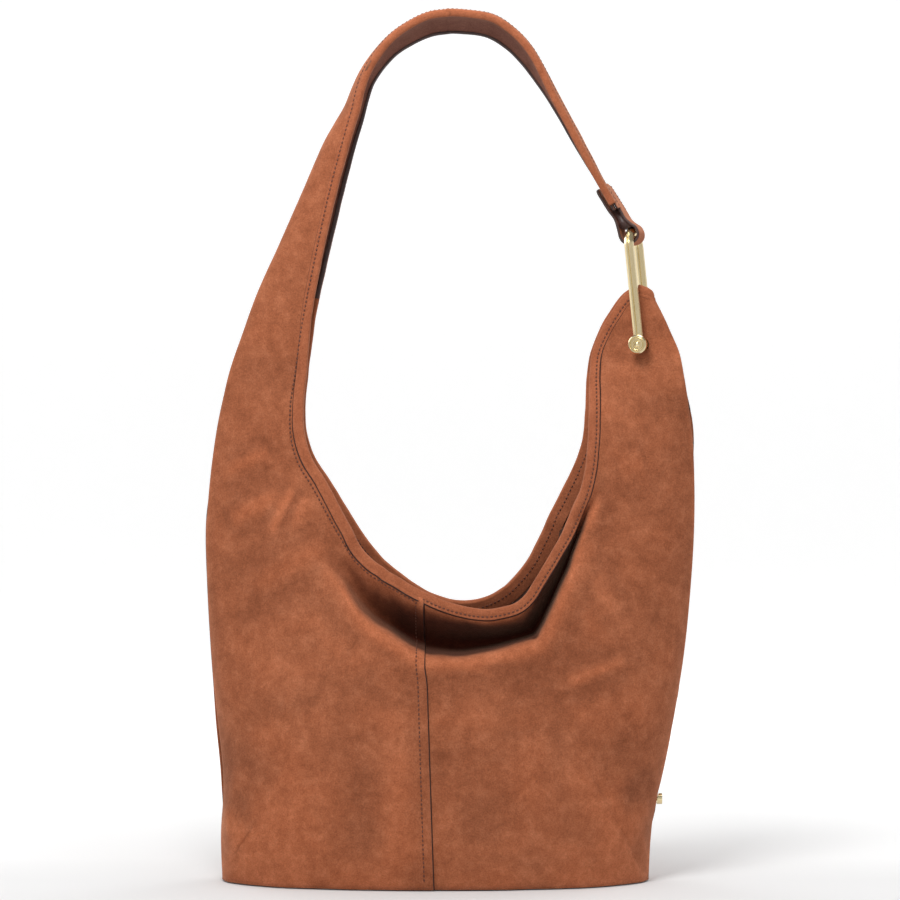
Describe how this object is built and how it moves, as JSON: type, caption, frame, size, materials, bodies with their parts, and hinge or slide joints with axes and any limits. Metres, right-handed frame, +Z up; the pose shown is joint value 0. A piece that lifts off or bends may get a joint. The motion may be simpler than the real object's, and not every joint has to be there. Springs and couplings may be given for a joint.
{
  "type": "hobo bag",
  "caption": "Slouching suede shoulder bag with a crescent mouth, a strap that grows out of one shoulder, and a brass shackle joining its folded tab to the pointed horn on the other side.",
  "frame": {"origin": "middle of the base's underside", "axes": "+Z up, +X to the right seen from the front (the horn's side), +Y to the back"},
  "size_m": [0.3574, 0.114, 0.6353],
  "materials": {
    "suede": "napped cognac suede, matt with a soft sheen",
    "strap_underside": "smooth plum-brown leather, matt",
    "lining": "woven cotton lining, brown",
    "board": "pressed fibreboard",
    "padding": "bonded felt",
    "webbing": "woven webbing",
    "zip_tape": "woven zip tape",
    "brass": "polished pale brass"
  },
  "bodies": {
    "bag": {"front_left_panel": "suede", "front_right_panel": "suede", "back_left_panel": "suede", "back_right_panel": "suede", "base_panel": "suede", "base_board": "board", "lining_base": "lining", "lining_front": "lining", "lining_back": "lining", "front_rim_binding": "suede", "back_rim_binding": "suede", "neck_fold": "suede", "horn_fold": "suede", "pocket_back": "lining", "pocket_front": "lining", "pocket_header": "lining", "zip_tapes": "zip_tape", "zip_teeth": "brass", "zip_stops": "brass", "side_stud": "brass", "stud_washer": "brass"},
    "upper": {"strap_outer": "suede", "strap_lining": "strap_underside", "strap_core": "webbing", "strap_front_binding": "suede", "strap_back_binding": "suede", "horn_front_panel": "suede", "horn_back_panel": "suede", "horn_stiffener": "padding", "horn_binding": "suede", "grommet_front": "brass", "grommet_back": "brass"},
    "shackle": {"shackle": "brass", "shackle_pin": "brass", "pin_cap_front": "brass", "pin_cap_back": "brass", "strap_tab": "suede"},
    "slider": {"zip_slider": "brass"},
    "puller": {"zip_puller": "brass"}
  },
  "joints": [
    {"name": "strap_flop", "type": "hinge", "parent": "bag", "child": "upper", "pos_m": [0, 0, 0.35], "axis": [1, 0, 0], "range_deg": [-60, 60], "deforming": ["neck_fold", "horn_fold"]},
    {"name": "shackle_swing", "type": "hinge", "parent": "upper", "child": "shackle", "pos_m": [0.1515, 0, 0.3906], "axis": [0.342, 0.9397, 0], "range_deg": [-12, 12], "deforming": ["strap_outer", "strap_lining", "strap_core", "strap_front_binding", "strap_back_binding"]},
    {"name": "zip_slide", "type": "slide", "parent": "bag", "child": "slider", "axis": [-1, 0, 0], "range_m": [0, 0.108]},
    {"name": "puller_flip", "type": "hinge", "parent": "slider", "child": "puller", "pos_m": [0.072, 0.01745, 0.152], "axis": [0, 0, 1], "range_deg": [0, 180]}
  ]
}
